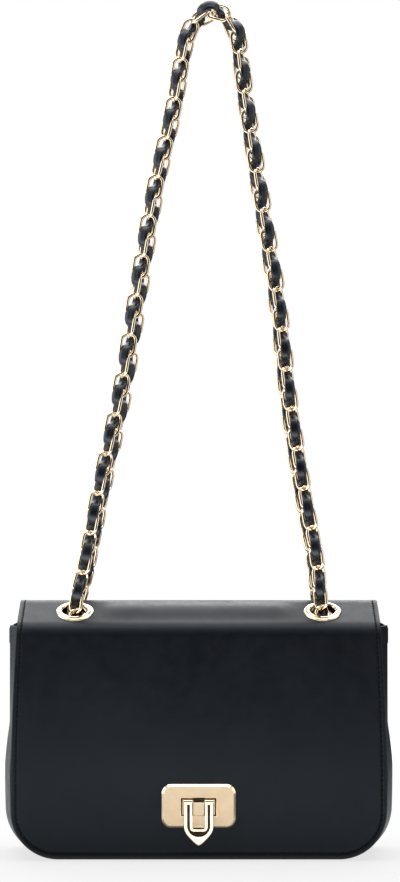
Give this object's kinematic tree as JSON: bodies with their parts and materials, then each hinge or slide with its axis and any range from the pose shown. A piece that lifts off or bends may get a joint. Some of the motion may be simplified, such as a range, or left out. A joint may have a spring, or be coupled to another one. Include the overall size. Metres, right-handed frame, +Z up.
{
  "type": "flap bag with chain strap",
  "caption": "Crossbody bag with a full front flap, a flip lock, stepped eyelets and a doubled chain strap woven with a leather lace.",
  "frame": {"origin": "underside of the strap's crown, where a hook or a shoulder bears, midway between the front and back strands", "axes": "+Z up along the strap, front of the bag faces -Y, +X to the viewer's right"},
  "size_m": [0.2501, 0.0824, 0.5461],
  "materials": {
    "black_leather": "smooth grained calf leather with a soft sheen",
    "black_lace": "folded leather lace",
    "black_lining": "woven lining",
    "grey_board": "pressed fibre board",
    "pale_gold": "pale gold plating, satin faces with polished rims",
    "inner_steel": "plain plated steel"
  },
  "bodies": {
    "strap": {"chain_front_left": "pale_gold", "chain_front_right": "pale_gold", "chain_back_left": "pale_gold", "chain_back_right": "pale_gold", "chain_inside_left": "pale_gold", "chain_inside_right": "pale_gold", "lace_front_left": "black_lace", "lace_front_right": "black_lace", "lace_back_left": "black_lace", "lace_back_right": "black_lace", "lace_inside_left": "black_lace", "lace_inside_right": "black_lace"},
    "bag": {"back_and_top_panel": "black_leather", "front_panel": "black_leather", "gusset": "black_leather", "base_board": "grey_board", "lining_front": "black_lining", "lining_back": "black_lining", "lining_gusset": "black_lining", "slip_pocket": "black_lining", "eyelet_front_left": "pale_gold", "eyelet_front_right": "pale_gold", "eyelet_back_left": "pale_gold", "eyelet_back_right": "pale_gold", "eyelet_washer_front_left": "inner_steel", "eyelet_washer_front_right": "inner_steel", "eyelet_washer_back_left": "inner_steel", "eyelet_washer_back_right": "inner_steel", "lock_post": "pale_gold", "lock_washer": "inner_steel", "latch_pin": "inner_steel"},
    "flap": {"flap": "black_leather", "flap_lining": "black_lining", "lock_plate": "pale_gold", "lock_backing": "inner_steel"},
    "latch": {"latch": "pale_gold"}
  },
  "joints": [
    {"name": "bag_swing", "type": "hinge", "parent": "strap", "child": "bag", "pos_m": [-0.00964, 0, -0.37633], "axis": [1, 0, 0], "range_deg": [-8, 8]},
    {"name": "flap_lift", "type": "hinge", "parent": "bag", "child": "flap", "pos_m": [-0.00964, -0.02842, -0.38527], "axis": [-1, 0, 0], "range_deg": [0, 135]},
    {"name": "latch_turn", "type": "hinge", "parent": "bag", "child": "latch", "pos_m": [-0.00964, -0.0425, -0.49876], "axis": [-1, 0, 0], "range_deg": [0, 90]}
  ]
}
